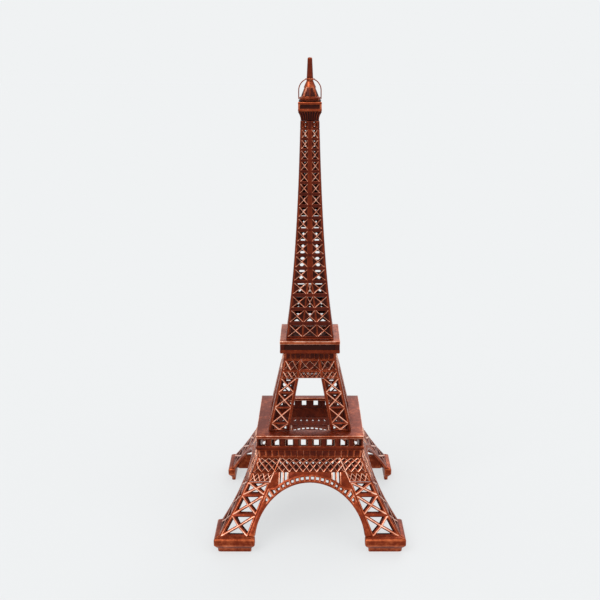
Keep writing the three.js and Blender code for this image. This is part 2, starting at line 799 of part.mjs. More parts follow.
function drum() {
  const waist = drumRadius - DRUM_WAIST;
  const body = turned(
    [
      [0, drumBottom],
      [drumRadius - EDGE, drumBottom],
      [drumRadius, drumBottom + EDGE],
      [drumRadius, drumBottom + DRUM_RIM],
      [waist, drumBottom + DRUM_HEIGHT / 2],
      [drumRadius, drumTop - DRUM_RIM],
      [drumRadius, drumTop - EDGE],
      [drumRadius - EDGE, drumTop],
      [0, drumTop],
    ],
    ROUND_SIDES,
  );
  const seat = HOOP_THICKNESS / 2 + CLEARANCE;
  const seats = quarterTurns.map((angle) =>
    block(
      hoopRadius - HOOP_THICKNESS - CLEARANCE,
      hoopRadius + OVERRUN,
      -seat,
      seat,
      drumTop - HOOP_SEAT - CLEARANCE,
      drumTop + OVERRUN,
    ).rotateZ(angle),
  );
  const hollow = pin(drumTop - HOOP_SEAT, drumTop + OVERRUN, CLEARANCE);
  return join(cut(body, hollow, ...seats), pinBelow(drumBottom));
}

function bell() {
  const dome = levels(0, 1, BELL_STEPS).map((share) => [
    lerp(bellRadius, MAST_BASE_HALF, share ** BELL_SWELL),
    bellBottom + BELL_HEIGHT * share,
  ]);
  const body = turned([[0, bellBottom], ...dome, [0, bellTop]], ROUND_SIDES);
  const half = bellRadius * BELL_WINDOW;
  const windows = quarterTurns.map((angle) =>
    block(
      bellRadius - BELL_RECESS,
      bellRadius + OVERRUN,
      -half,
      half,
      bellBottom + BELL_SILL,
      bellBottom + BELL_HEIGHT / 2,
    ).rotateZ(angle),
  );
  const foot = pin(bellBottom - HOOP_SEAT + CLEARANCE, bellBottom + OVERRUN);
  return join(cut(body, ...windows, socket(bellTop)), foot);
}

// Two crossed hoops from the drum's rim over the bell to a collar around the mast.
function hoops() {
  const bore = MAST_BASE_HALF + CLEARANCE;
  const rim = bore + HOOP_THICKNESS;
  const bottom = mastBottom + CLEARANCE;
  const top = bottom + COLLAR_HEIGHT;
  const shoulder = drumTop + HOOP_SHOULDER;
  // The hoop's outer edge meets the collar's rim at the collar's mid height.
  const meeting = (bottom + top) / 2 - shoulder;
  const height = meeting / Math.sqrt(1 - (rim / hoopRadius) ** 2);
  const arc = (radius, rise) => [
    [radius, drumTop - HOOP_SEAT],
    ...levels(0, Math.PI, HOOP_STEPS).map((angle) => [
      radius * Math.cos(angle),
      shoulder + rise * Math.sin(angle),
    ]),
    [-radius, drumTop - HOOP_SEAT],
  ];
  const outer = arc(hoopRadius, height);
  const inner = arc(hoopRadius - HOOP_THICKNESS, height - HOOP_THICKNESS).reverse();
  const shape = new THREE.Shape(toVectors([...outer, ...inner]));
  const flat = new THREE.ExtrudeGeometry(shape, { depth: HOOP_THICKNESS, bevelEnabled: false });
  const hoop = flat.translate(0, 0, -HOOP_THICKNESS / 2).rotateX(Math.PI / 2);
  const collar = turned(
    [
      [0, bottom],
      [rim, bottom],
      [rim, top],
      [0, top],
    ],
    ROUND_SIDES,
  );
  const hole = pin(shoulder, top + OVERRUN, bore - PIN_RADIUS);
  return cut(join(hoop, hoop.clone().rotateZ(Math.PI / 2), collar), hole);
}

function mast() {
  const body = turned(
    [
      [0, mastBottom],
      [MAST_BASE_HALF, mastBottom],
      [MAST_TOP_HALF, mastTop - EDGE],
      [MAST_TOP_HALF - EDGE, mastTop],
      [0, mastTop],
    ],
    SLIM_SIDES,
  );
  return join(body, pinBelow(mastBottom));
}

// ---- Assembly ----
const tower = new THREE.Group();
tower.name = "lattice_tower";

const finishes = {
  copper: { color: 0x7a3a22, roughness: 0.38, metalness: 0.9 },
  deepCopper: { color: 0x5b2818, roughness: 0.42, metalness: 0.9 },
  brightCopper: { color: 0x95482a, roughness: 0.35, metalness: 0.9 },
};

function place(name, solid, finish, turn = 0) {
  const material = new THREE.MeshStandardMaterial(finishes[finish]);
  const mesh = new THREE.Mesh(toGeometry(solid), material);
  mesh.name = name;
  mesh.rotation.z = turn;
  tower.add(mesh);
}

// One casting made four times, once for each side of the tower.
function fourSides(name, solid, finish) {
  ["front", "right", "back", "left"].forEach((side, i) => {
    place(`${name}_${side}`, solid, finish, quarterTurns[i]);
  });
}

fourSides("lower_panel", lowerPanel(), "copper");
fourSides("gallery_wall", galleryWall(), "deepCopper");
place("first_platform", firstPlatform(), "brightCopper");
fourSides("middle_panel", midPanel(), "copper");
place("second_floor_box", secondFloorBox(), "deepCopper");
place("second_floor_tray", secondFloorTray(), "brightCopper");
fourSides("spire_panel", spirePanel(), "copper");
place("spire_cornice", cornice(), "deepCopper");
place("cabin", cabin(), "copper");
place("lantern_drum", drum(), "copper");
place("lantern_bell", bell(), "brightCopper");
place("lantern_hoops", hoops(), "copper");
place("mast", mast(), "copper");

export default tower;
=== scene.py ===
import math

import bpy
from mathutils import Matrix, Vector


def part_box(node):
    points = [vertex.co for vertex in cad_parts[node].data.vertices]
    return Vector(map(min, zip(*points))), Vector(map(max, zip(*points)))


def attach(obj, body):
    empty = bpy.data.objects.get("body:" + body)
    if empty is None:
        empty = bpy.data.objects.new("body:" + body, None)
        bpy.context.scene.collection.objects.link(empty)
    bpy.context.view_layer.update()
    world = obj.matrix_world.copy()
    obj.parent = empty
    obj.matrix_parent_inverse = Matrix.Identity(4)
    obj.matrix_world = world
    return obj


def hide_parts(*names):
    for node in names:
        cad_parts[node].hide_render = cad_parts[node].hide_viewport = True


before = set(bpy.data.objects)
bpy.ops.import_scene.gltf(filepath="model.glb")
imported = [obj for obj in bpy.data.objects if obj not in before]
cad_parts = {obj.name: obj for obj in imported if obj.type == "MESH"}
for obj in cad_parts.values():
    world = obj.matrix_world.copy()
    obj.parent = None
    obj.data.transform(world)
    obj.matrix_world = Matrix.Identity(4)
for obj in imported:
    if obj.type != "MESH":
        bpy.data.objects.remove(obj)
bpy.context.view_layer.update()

MM = 0.001
GAP = 0.3  # between two castings that touch
MITRE = 0.05  # how far a sheet stops short of the tower's corner
CORNER_BAR = 1.15  # the bar along a panel's corner
SIDES = ("front", "right", "back", "left")


def low(node, axis=2):
    """The lowest coordinate of a CAD node, in millimetres."""
    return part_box(node)[0][axis] / MM


def high(node, axis=2):
    """The highest coordinate of a CAD node, in millimetres."""
    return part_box(node)[1][axis] / MM


# ---- Sizes in millimetres, on the places that the frame gives ----

foot_half = high("lower_panel_right", 0)
foot_length = 27.4
foot_thickness = 5.4
foot_lip = 3.6  # from the bar's face in to the leg's face
foot_tuck = 0.6  # how far the legs and the arch run down into the bars
plinth_inset = 2.5
plinth_top = 2.7
foot_band_bottom = 5.8
foot_band_top = 10.4
foot_top = 11.5
foot_slope = 1.1

frieze_height = 5.8
girder_height = 9.3
gallery_bottom = low("gallery_wall_front")
lower_top = gallery_bottom - GAP
girder_top = lower_top - frieze_height
girder_bottom = girder_top - girder_height
leg_cells = (11.4, 11.2, 7.8)
leg_band = foot_top + sum(leg_cells)
leg_base_half = foot_half - foot_lip
leg_top_half = 35.6
leg_top_width = 15.5
leg_web = 4.2  # between the arch and the leg's lattice at the foot
leg_hollow = 1.6  # how far a leg's curve dips inside a straight line
dot_pitch = 4.7
lower_thickness = 1.8

arch_foot = foot_half - foot_length + foot_slope / 2
arch_band = 5.4
arch_gap = 0.8  # crown of the arch below the girder
arch_crown = girder_bottom - arch_gap - arch_band
arch_rise = arch_crown - foot_top
arch_radius = (arch_rise**2 + arch_foot**2) / (2 * arch_rise)
arch_centre = arch_crown - arch_radius
arch_holes = 20
arch_hole_pitch = 3.5
spandrel_start = 14.2
last_strut = 21
web_lap = 0.3  # how far a spandrel's webs run over the arch

gallery_half = 36.1
gallery_sill_height = 2.6
gallery_window_height = 4.7
gallery_sill = gallery_bottom + gallery_sill_height
gallery_head = gallery_sill + gallery_window_height
gallery_windows = 8
gallery_pillar = 4.3
gallery_post = 0.8
platform_bottom = low("first_platform")
platform_top = high("first_platform")
platform_half = high("first_platform", 0)
platform_well = 26.45
well_bay_reach = 30.85
well_bay_half = 14

mid_bottom = platform_top + GAP
mid_base_half = 28.35
mid_top_half = 17.8
mid_leg_base = 13.5
mid_leg_top = 11.6
mid_rise = 47.7
mid_frieze_height = 5
mid_lower_band = 5
mid_frieze = mid_bottom + mid_rise
mid_top = mid_frieze + mid_frieze_height
mid_cells = (5, 10.6, 10.1, 9.7)
mid_band = mid_bottom + sum(mid_cells)
mid_upper_band = mid_band + mid_lower_band
mid_thickness = 1.6

second_bottom = low("second_floor_box")
tray_bottom = low("second_floor_tray")
tray_top = high("second_floor_tray")
tray_well = 14.4
tray_proud = 0.1
second_half = high("second_floor_tray", 0) - tray_proud

spire_bottom = tray_top + GAP
spire_top = high("spire_panel_front")
spire_base_half = 16.2
spire_top_half = 5.9
spire_flare = 1.7
spire_rows = 17
spire_wide_rows = 4
spire_row_ratio = 0.9743
spire_thickness = 1.2
spire_foot = 0.9
spire_neck = 5
spire_mitre = 0.04

cornice_bottom = spire_top + GAP
cornice_ribs = 9
cornice_top = high("spire_cornice")
cabin_half = high("cabin", 0)
cabin_bottom = cornice_top + GAP
cabin_top = high("cabin")
drum_bottom = cabin_top + GAP
drum_height = 2.6
drum_top = drum_bottom + drum_height
bell_bottom = drum_top + GAP
mast_top = high("mast")
mast_height = 14.2
mast_bottom = mast_top - mast_height
bell_top = mast_bottom - GAP
bell_swell = 1.1
hoop_shoulder = drum_top + 4.2
hoop_width = 0.7
mast_base = 2.2
mast_tip = 1.5
collar_radius = mast_base + 1
collar_height = 0.9


def mix(a, b, share):
    """The value that lies a share of the way from one to the other."""
    return a + (b - a) * share


def lower_half(z):
    """Half the width of the lower storey's outer face at a height."""
    if z > girder_top:
        return mix(leg_top_half, gallery_half, (z - girder_top) / (lower_top - girder_top))
    s = (z - foot_top) / (girder_top - foot_top)
    return mix(leg_base_half, leg_top_half, s) - 4 * leg_hollow * s * (1 - s)


def leg_inner(z):
    """Where the leg's inner chord stands, from the middle of a side."""
    s = (z - foot_top) / (girder_top - foot_top)
    return mix(arch_foot + leg_web, leg_top_half - leg_top_width, s)


def mid_half(z):
    """Half the width of the middle storey's outer face at a height."""
    s = (z - mid_bottom) / (mid_frieze - mid_bottom)
    return mix(mid_base_half, mid_top_half, min(s, 1))


def mid_inner(z):
    """Where a middle leg's inner chord stands, from the middle of a side."""
    s = (z - mid_bottom) / (mid_frieze - mid_bottom)
    return mix(mid_base_half - mid_leg_base, mid_top_half - mid_leg_top, s)


def spire_half(z):
    """Half the width of the spire's outer face at a height."""
    s = (z - spire_bottom) / (spire_top - spire_bottom)
    fall = (1 - math.exp(-spire_flare * s)) / (1 - math.exp(-spire_flare))
    return mix(spire_base_half, spire_top_half, fall)


# ---- Camera, light and floor ----

def add_camera():
    tilt = math.radians(74.76)
    bpy.ops.object.camera_add(location=(0, -0.5392, 0.3056), rotation=(tilt, 0, 0))
    camera = bpy.context.object
    camera.data.lens = 48.32
    camera.data.sensor_width = 36
    camera.data.shift_x = -0.0165
    camera.data.clip_start = 0.01
    camera.data.clip_end = 100
    bpy.context.scene.camera = camera


def add_sun(name, strength, spread, elevation, heading):
    """A wide soft light: heading is measured from behind the camera, turning to the right."""
    lean = math.radians(90 - elevation)
    bpy.ops.object.light_add(type="SUN", rotation=(lean, 0, math.radians(heading)))
    lamp = bpy.context.object
    lamp.name = name
    lamp.data.energy = strength
    lamp.data.angle = math.radians(spread)


def add_studio():
    scene = bpy.context.scene
    scene.view_settings.view_transform = "Standard"
    sky = colour(240, 242, 243)
    world = bpy.data.worlds.new("studio")
    scene.world = world
    world.use_nodes = True
    background = world.node_tree.nodes["Background"]
    background.inputs["Color"].default_value = sky
    background.inputs["Strength"].default_value = 1

    lamps = (("key", 1.3, 36, 48, -38), ("fill", 0.6, 60, 35, 55), ("back", 0.7, 40, 40, 155))
    for name, strength, spread, elevation, heading in lamps:
        add_sun(name, strength, spread, elevation, heading)
    spill = sum(lamp[1] * math.sin(math.radians(lamp[3])) for lamp in lamps) / math.pi

    bpy.ops.object.select_all(action="DESELECT")
    bpy.ops.mesh.primitive_plane_add(size=200)
    floor = bpy.context.object
    floor.name = "floor"
    paper = Finish("pale_floor")
    # The floor glows, so that with the light it takes it looks as pale as the sky, and its
    # shadows are faint.
    taken = 0.2
    glow = [value - taken * (value + spill) for value in sky[:3]]
    paper.surface({
        "Base Color": (taken, taken, taken, 1), "Roughness": 1, "Specular IOR Level": 0,
        "Emission Color": (*glow, 1), "Emission Strength": 1,
    })
    floor.data.materials.append(paper.material)


# ---- Finishes ----

class Wire:
    """A value that varies over a surface; arithmetic on it adds Math nodes."""

    def __init__(self, finish, socket):
        self.finish = finish
        self.socket = socket

    def maths(self, operation, *values):
        return self.finish.node("ShaderNodeMath", {"operation": operation}, dict(enumerate(values)))

    def __add__(self, other):
        return self.maths("ADD", self, other)

    def __mul__(self, other):
        return self.maths("MULTIPLY", self, other)

    def __sub__(self, other):
        return self.maths("SUBTRACT", self, other)

    def __rsub__(self, other):
        return self.maths("SUBTRACT", other, self)

    __radd__ = __add__
    __rmul__ = __mul__


class Finish:
    """A material and the nodes that make it."""

    def __init__(self, name):
        self.material = bpy.data.materials.new(name)
        self.material.use_nodes = True
        self.tree = self.material.node_tree
        self.tree.nodes.clear()

    def node(self, kind, settings, sockets, output=0):
        made = self.tree.nodes.new(kind)
        for key, value in settings.items():
            if key == "stops":
                ramp = made.color_ramp.elements
                while len(ramp) < len(value):
                    ramp.new(0.5)
                for element, (place, colour) in zip(ramp, value):
                    element.position = place
                    element.color = colour
            else:
                setattr(made, key, value)
        for key, value in sockets.items():
            if isinstance(value, Wire):
                self.tree.links.new(value.socket, made.inputs[key])
            else:
                made.inputs[key].default_value = value
        return Wire(self, made.outputs[output]) if made.outputs else None

    def surface(self, sockets):
        shader = self.node("ShaderNodeBsdfPrincipled", {}, sockets)
        self.node("ShaderNodeOutputMaterial", {}, {"Surface": shader})


def colour(red, green, blue):
    """An eight-bit screen colour as light."""
    def light(value):
        value /= 255
        return value / 12.92 if value <= 0.04045 else ((value + 0.055) / 1.055) ** 2.4
    return (light(red), light(green), light(blue), 1)


def copper(name, lift):
    """Antique copper plate: dark patina and painted shade in the recesses, bright wear and painted
    highlights on the crests.
    """
    finish = Finish(name)
    place = finish.node("ShaderNodeTexCoord", {}, {}, "Object")
    rub = finish.node("ShaderNodeAttribute", {"attribute_name": "rub"}, {}, "Fac")

    def noise(scale, detail):
        return finish.node(
            "ShaderNodeTexNoise", {}, {"Vector": place, "Scale": scale, "Detail": detail}
        )

    patches = noise(130, 3)
    streaks = noise(420, 2)
    grain = noise(2600, 2)
    # The level mixes real wear and patina with painted shade in the recesses and painted highlights
    # on the crests; lift shifts it for the shaded and lit copies.
    worn_and_lit = rub + (patches - 0.5) * 0.4 + (streaks - 0.5) * 0.3 + (grain - 0.5) * 0.25 + lift
    tint = finish.node(
        "ShaderNodeValToRGB",
        {"stops": [
            # The lowest stop is the dark patina and painted shade of the recesses.
            (0.0, colour(44, 9, 2)),
            (0.25, colour(82, 22, 6)),
            (0.5, colour(122, 42, 12)),
            (0.72, colour(196, 100, 58)),
            # The top stop is a near-white painted highlight, the crests reflecting the lamps.
            (0.93, colour(255, 214, 190)),
        ]},
        {"Fac": worn_and_lit},
    )
    rough = finish.node(
        "ShaderNodeMapRange", {},
        {
            "Value": worn_and_lit + (grain - 0.5) * 0.4, "From Min": 0, "From Max": 1,
            "To Min": 0.52, "To Max": 0.26,
        },
    )
    relief = finish.node(
        "ShaderNodeBump", {}, {"Height": grain + streaks * 2, "Strength": 0.5, "Distance": 0.00006}
    )
    finish.surface({
        "Base Color": tint,
        "Metallic": 0.8,
        "Roughness": rough,
        "Normal": relief,
        "Specular IOR Level": 0.3,
        "Coat Weight": 0.08,
        "Coat Roughness": 0.2,
    })
    return finish.material


# ---- Modelling ----

BAR, CROSS, HALF_CROSS, MESHED, WINDOW, SUNK, GONE, FLOOR = range(8)


def only(piece):
    """Makes a piece the one that is selected, in object mode."""
    if bpy.context.object and bpy.context.object.mode != "OBJECT":
        bpy.ops.object.mode_set(mode="OBJECT")
    bpy.ops.object.select_all(action="DESELECT")
    piece.select_set(True)
    bpy.context.view_layer.objects.active = piece


def pick(piece, faces=None, edges=None):
    """Opens a piece for editing with the faces or edges that pass a test selected.

    Says whether any do.
    """
    only(piece)
    mesh = piece.data
    for part in (mesh.vertices, mesh.edges, mesh.polygons):
        part.foreach_set("select", [False] * len(part))
    bpy.context.tool_settings.mesh_select_mode = (False, faces is None, faces is not None)
    found = False
    for part in mesh.edges if faces is None else mesh.polygons:
        part.select = (edges if faces is None else faces)(part)
        found = found or part.select
    bpy.ops.object.mode_set(mode="EDIT")
    return found


def done():
    """Goes back to object mode."""
    bpy.ops.object.mode_set(mode="OBJECT")


def apply(piece, kind, **settings):
    """Works one modifier into a piece's mesh."""
    only(piece)
    modifier = piece.modifiers.new(kind.title(), kind)
    for key, value in settings.items():
        setattr(modifier, key, value)
    bpy.ops.object.modifier_apply(modifier=modifier.name)


def settle(piece):
    """Puts a piece's place and turn into its mesh."""
    only(piece)
    bpy.ops.object.transform_apply(location=True, rotation=True, scale=True)


def join(name, pieces):
    only(pieces[0])
    for piece in pieces[1:]:
        piece.select_set(True)
    bpy.ops.object.join()
    whole = bpy.context.object
    whole.name = name
    return whole


def paint_piece_wear_and_light(piece, value):
    """Sets a whole piece's wear and painted light, from 0 (painted shade) in a recess to 1 (painted
    highlight) on a crest.
    """
    layer = piece.data.attributes.new("rub", "FLOAT", "CORNER")
    layer.data.foreach_set("value", [value] * len(piece.data.loops))


def paint_faces_wear_and_light(piece, test, value):
    """Sets the wear and painted light of the faces that pass a test."""
    layer = piece.data.attributes["rub"]
    for face in piece.data.polygons:
        if test(face):
            for corner in face.loop_indices:
                layer.data[corner].value = value


def soften(piece, width, segments=1, brightened=0.9, angle=32):
    """Rounds a piece's edges over and paints them brighter, as wear and as a painted highlight."""
    while len(piece.data.materials) < 2:
        piece.data.materials.append(None)
    apply(piece, "BEVEL", width=width * MM, segments=segments, limit_method="ANGLE",
          angle_limit=math.radians(angle), use_clamp_overlap=False, material=1)
    layer = piece.data.attributes["rub"]
    # Bevelled faces are painted brighter: wear on the edges and a painted highlight.
    for face in piece.data.polygons:
        if face.material_index == 1:
            face.material_index = 0
            for corner in face.loop_indices:
                value = layer.data[corner].value
                layer.data[corner].value = mix(value, 1, 0.5) * brightened
    only(piece)
    bpy.ops.object.shade_smooth_by_angle(angle=math.radians(40))


def block(name, lowest, highest, rub):
    """A box between two corners, as a start for a piece."""
    bpy.ops.object.select_all(action="DESELECT")
    middle = [(a + b) / 2 * MM for a, b in zip(lowest, highest)]
    size = [(b - a) * MM for a, b in zip(lowest, highest)]
    bpy.ops.mesh.primitive_cube_add(size=1, location=middle, scale=size)
    piece = bpy.context.object
    piece.name = name
    settle(piece)
    paint_piece_wear_and_light(piece, rub)
    return piece


def draw_out(rise, scale, centre):
    """Extrudes the selected face up or down and scales it about a point."""
    bpy.ops.mesh.extrude_region_move(TRANSFORM_OT_translate={"value": (0, 0, rise * MM)})
    about = [c * MM for c in centre]
    bpy.ops.transform.resize(value=(*scale, 1), center_override=about)


def tier(name, outline, levels, rub):
    """A closed solid drawn up through (half-width, height) levels.

    Its outline is "square", or round with the number of sides that is given.
    """
    bpy.ops.object.select_all(action="DESELECT")
    half, base = levels[0]
    if outline == "square":
        bpy.ops.mesh.primitive_plane_add(size=2 * half * MM, location=(0, 0, base * MM))
    else:
        bpy.ops.mesh.primitive_circle_add(
            vertices=outline, radius=half * MM, fill_type="NGON", location=(0, 0, base * MM)
        )
    piece = bpy.context.object
    piece.name = name
    settle(piece)
    pick(piece, faces=lambda face: True)
    for (before, z0), (after, z1) in zip(levels, levels[1:]):
        draw_out(z1 - z0, (after / before, after / before), (0, 0, z1))
    bpy.ops.mesh.select_all(action="SELECT")
    bpy.ops.mesh.normals_make_consistent(inside=False)
    done()
    paint_piece_wear_and_light(piece, rub)
    return piece


def pierced_plate(name, lines, open_bay, bottom, top, rub):
    """A square plate on a net of lines, the same both ways, with some of its bays open."""
    bays = len(lines) - 1
    bpy.ops.object.select_all(action="DESELECT")
    bpy.ops.mesh.primitive_grid_add(x_subdivisions=bays, y_subdivisions=bays, size=1)
    piece = bpy.context.object
    piece.name = name
    for vertex in piece.data.vertices:
        i, j = (round((c + 0.5) * bays) for c in vertex.co[:2])
        vertex.co = (lines[i] * MM, lines[j] * MM, top * MM)
    if pick(piece, faces=lambda face: open_bay(face.center.x / MM, face.center.y / MM)):
        bpy.ops.mesh.delete(type="FACE")
    done()
    paint_piece_wear_and_light(piece, rub)
    apply(piece, "SOLIDIFY", thickness=(top - bottom) * MM, offset=-1)
    return piece


def key(vertex):
    """A vertex's place on its flat sheet, to compare with others."""
    return (round(vertex.co.x / MM, 3), round(vertex.co.z / MM, 3))


def steep(run):
    return abs(run.z) > abs(run.x)


def halve_crosses(mesh):
    """Brings the crossing of each half-crossed bay down towards the bar under it."""
    height_kept = 0.35
    for face in mesh.polygons:
        if face.material_index == HALF_CROSS:
            hub = max(face.vertices)
            bar = max(mesh.vertices[k].co.z for k in face.vertices if k != hub)
            if bar < mesh.vertices[hub].co.z:
                mesh.vertices[hub].co.z = mix(bar, mesh.vertices[hub].co.z, height_kept)
                face.material_index = BAR


def shut_sides(mesh, lines):
    """Sinks the cells at the left and the right of each cross, and leaves the others to be open."""
    for face in mesh.polygons:
        if face.material_index == CROSS:
            ends = [mesh.vertices[k].co for k in face.vertices if k < lines]
            if steep(ends[1] - ends[0]):
                face.material_index = SUNK


def mesh_diagonals(mesh, piece, lines):
    """Dissolves the straight lines inside a diagonal lattice, and leaves its diagonals."""
    counts = {}
    for face in mesh.polygons:
        if face.material_index == MESHED:
            for pair in face.edge_keys:
                counts[pair] = counts.get(pair, 0) + 1
    inside = {pair for pair, count in counts.items() if count == 2 and max(pair) < lines}
    if inside:
        pick(piece, edges=lambda edge: tuple(sorted(edge.vertices)) in inside)
        bpy.ops.mesh.dissolve_edges(use_verts=False, use_face_split=False)
        done()


def paint_sheet_wear_and_light(mesh, raised, hubs, style):
    """Paints a sheet's diagonals brightest, as a painted highlight, then its chords, and leaves its
    sunk floors dark with patina and painted shade.
    """
    layer = mesh.attributes.new("rub", "FLOAT", "CORNER")
    for face in mesh.polygons:
        ends = [mesh.vertices[k] for k in face.vertices if k in raised]
        level = style["rung"]
        # Faces at the crossings of the diagonals take the ridge level, the brightest painted
        # highlight.
        if any(key(vertex) in hubs for vertex in ends):
            level = style["ridge"]
        elif len(ends) > 1:
            level = style["chord" if steep(ends[1].co - ends[0].co) else "rung"]
        corners = [mesh.vertices[k].co for k in face.vertices]
        width = max(co.x for co in corners) - min(co.x for co in corners)
        height = max(co.z for co in corners) - min(co.z for co in corners)
        for corner in face.loop_indices:
            if face.material_index == FLOOR:
                value = style["floor"]
            elif face.material_index == BAR:
                value = style["flat" if height > width else "rung"]
            else:
                value = level if mesh.loops[corner].vertex_index in raised else style["valley"]
            layer.data[corner].value = value
        face.material_index = 0


def work_bays(piece, style):
    """Opens or sinks each kind of bay within its border."""
    mesh = piece.data
    half_bar = style["bar"] * MM / 2
    rim = style["rim"] * MM
    if pick(piece, faces=lambda face: face.material_index in (CROSS, HALF_CROSS)):
        bpy.ops.mesh.inset(thickness=half_bar, use_individual=True)
        bpy.ops.mesh.delete(type="FACE")
    done()
    for kind, border, depth in (
        (MESHED, half_bar, style["sink"]),
        (SUNK, rim, style["sink"]),
        (WINDOW, rim, 0),
    ):
        found = pick(piece, faces=lambda face: face.material_index == kind)
        if found:
            bpy.ops.mesh.inset(thickness=border, depth=-depth * MM, use_individual=True)
        if found and kind == WINDOW:
            bpy.ops.mesh.delete(type="FACE")
        done()
        for face in mesh.polygons:
            if face.select:
                face.material_index = FLOOR
    if pick(piece, faces=lambda face: face.material_index == GONE):
        bpy.ops.mesh.delete(type="FACE")
    done()


def cut_dots(piece, dots, border):
    """Pierces the sunk floors whose middle passes a test."""
    def at_dot(face):
        return face.material_index == FLOOR and dots(abs(face.center.x) / MM, face.center.z / MM)

    if pick(piece, faces=at_dot):
        bpy.ops.mesh.inset(thickness=border * MM, use_individual=True)
        bpy.ops.mesh.delete(type="FACE")
    done()


def sheet(name, across, up, place, fill, style):
    """A flat cast sheet on a net of lines, pierced or sunk between them and raised along them.

    place(i, j) gives a crossing's (sideways, outwards, height); fill(i, j) says what a bay holds.
    """
    bpy.ops.object.select_all(action="DESELECT")
    bpy.ops.mesh.primitive_grid_add(x_subdivisions=across, y_subdivisions=up, size=1)
    piece = bpy.context.object
    piece.name = name
    mesh = piece.data
    for _ in range(FLOOR + 1):
        mesh.materials.append(None)
    for face in mesh.polygons:
        i = math.floor((face.center.x + 0.5) * across)
        j = math.floor((face.center.y + 0.5) * up)
        face.material_index = fill(i, j)
    edge_keys = set()
    for vertex in mesh.vertices:
        i = round((vertex.co.x + 0.5) * across)
        j = round((vertex.co.y + 0.5) * up)
        u, out, z = place(i, j)
        vertex.co = (u * MM, -out * MM, z * MM)
        if i in (0, across) or j in (0, up):
            edge_keys.add(key(vertex))

    lines = len(mesh.vertices)
    if pick(piece, faces=lambda face: face.material_index in (CROSS, HALF_CROSS, MESHED)):
        bpy.ops.mesh.poke()
    done()
    halve_crosses(mesh)
    if style["shut"]:
        shut_sides(mesh, lines)
    mesh_diagonals(mesh, piece, lines)
    crests = {key(vertex) for vertex in mesh.vertices} - edge_keys
    hubs = {key(vertex) for vertex in mesh.vertices if vertex.index >= lines}

    work_bays(piece, style)
    if "dots" in style:
        cut_dots(piece, style["dots"], style["dot"])

    raised = {vertex.index for vertex in mesh.vertices if key(vertex) in crests}
    paint_sheet_wear_and_light(mesh, raised, hubs, style)
    for index in raised:
        mesh.vertices[index].co.y -= style["crest"] * MM
    apply(piece, "SOLIDIFY", thickness=style["thick"] * MM, offset=-1)
    # The back faces, inside the tower, are painted darker: painted shade.
    paint_faces_wear_and_light(piece, lambda face: face.normal.y > 0.5, style["back"])
    return piece


def bend(piece, half):
    """Lays a flat sheet on the front of a storey, with its ends drawn in for the mitred corners."""
    for vertex in piece.data.vertices:
        outer = half(vertex.co.z / MM) * MM
        vertex.co.x *= (outer - vertex.co.y) / outer
        vertex.co.y -= outer
    return piece


def mirrored(piece):
    """A piece with its other half."""
    apply(piece, "MIRROR", use_axis=(True, False, False), use_mirror_merge=False)
    return piece


def turned(piece, turn):
    """A copy of a piece, turned round the tower's axis."""
    only(piece)
    bpy.ops.object.duplicate(linked=False)
    copy = bpy.context.object
    copy.rotation_euler.z = turn
    settle(copy)
    return copy


def all_round(piece):
    """A piece and its copies on the other three sides."""
    return [piece] + [turned(piece, quarter * math.pi / 2) for quarter in (1, 2, 3)]


def stand_for(piece, node, material):
    """Dresses a finished casting and puts it in the place of its CAD node."""
    piece.name = node + "_casting"
    piece.data.name = piece.name
    piece.data.materials.clear()
    piece.data.materials.append(material)
    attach(piece, "root")
    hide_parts(node)


def four_sides(piece, node, material):
    """Sets a casting and its copies in the places of the CAD nodes on the four sides."""
    for side, casting in zip(SIDES, all_round(piece)):
        stand_for(casting, f"{node}_{side}", material)


# ---- Lower panels ----

# How a sheet is worked. bar and rim are widths left round its openings, sink and crest are how far
# floors lie below and ridges stand above it, shut sinks the sides of its crosses, and ridge and the
# rest are how bright each kind of place is painted, as bright wear and painted highlights on the
# crests, patina and painted shade in floors and valleys, and painted shade on the back faces.
LEG = {
    "bar": 1.8, "rim": 0.5, "sink": 0.5, "crest": 0.45, "thick": lower_thickness, "shut": False,
    "ridge": 1.0, "chord": 0.8, "flat": 0.45, "rung": 0.45, "valley": 0.08, "floor": 0.0,
    "back": 0.35,
}
chord_back = 0.6  # from the line of a leg's inner chord to the chord's edges
chord_front = 0.35


def leg():
    """A leg's three crossed bays between its two chords."""
    half_rung = 0.35
    rows = [foot_top - foot_tuck, foot_top]
    level = foot_top
    for height in leg_cells:
        level += height
        rows += [level - half_rung, level + half_rung]
    rows[-1] = leg_band

    def place(i, j):
        z = rows[j]
        inner = leg_inner(z)
        outer = lower_half(z)
        lines = (inner - chord_back, inner + chord_front, outer - CORNER_BAR, outer - MITRE)
        return (lines[i], 0, z)

    def fill(i, j):
        return CROSS if i == 1 and j % 2 == 1 else BAR

    return sheet("leg", 3, len(rows) - 1, place, fill, LEG)


def leg_head():
    """The narrow band of diamonds across the top of a leg."""
    diamonds = 4
    border = 0.5
    rows = (leg_band, leg_band + border, girder_bottom - border, girder_bottom)
    middle = (leg_band + girder_bottom) / 2

    def place(i, j):
        z = rows[j]
        inner = leg_inner(z)
        outer = lower_half(z)
        first = inner + chord_front
        last = outer - CORNER_BAR
        lines = [inner - chord_back]
        lines += [mix(first, last, k / diamonds) for k in range(diamonds + 1)]
        lines.append(outer - MITRE)
        return (lines[i], 0, z)

    def fill(i, j):
        return MESHED if 0 < i <= diamonds and j == 1 else BAR

    def dots(u, z):
        return abs(z - middle) < 0.4 and leg_inner(z) + 2.5 < u < lower_half(z) - 3.5

    style = {**LEG, "bar": 0.9, "sink": 0.55, "crest": 0.35, "dots": dots, "dot": 0.45}
    return sheet("leg_head", diamonds + 2, 3, place, fill, style)


